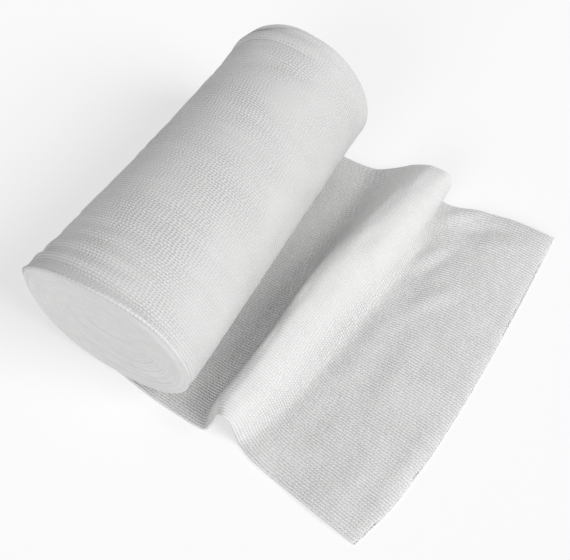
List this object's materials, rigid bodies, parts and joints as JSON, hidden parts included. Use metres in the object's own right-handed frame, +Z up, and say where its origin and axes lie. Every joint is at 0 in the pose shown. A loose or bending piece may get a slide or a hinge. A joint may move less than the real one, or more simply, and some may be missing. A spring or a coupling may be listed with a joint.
{
  "type": "stockinette roll",
  "caption": "Roll of tubular knitted cotton stockinette lying on its own loose end, which rises in one raised fold and then lies flat.",
  "frame": {"origin": "middle of the whole object's footprint, on the surface that it lies on", "axes": "+Z up, +Y along the roll's axis away from the end that faces the viewer, +X the way the loose end runs out from under the roll"},
  "size_m": [0.2286, 0.2256, 0.0969],
  "materials": {
    "cotton_knit": "matt off-white cotton jersey knit"
  },
  "bodies": {
    "root": {"wound_roll": "cotton_knit", "loose_end": "cotton_knit"}
  },
  "joints": []
}
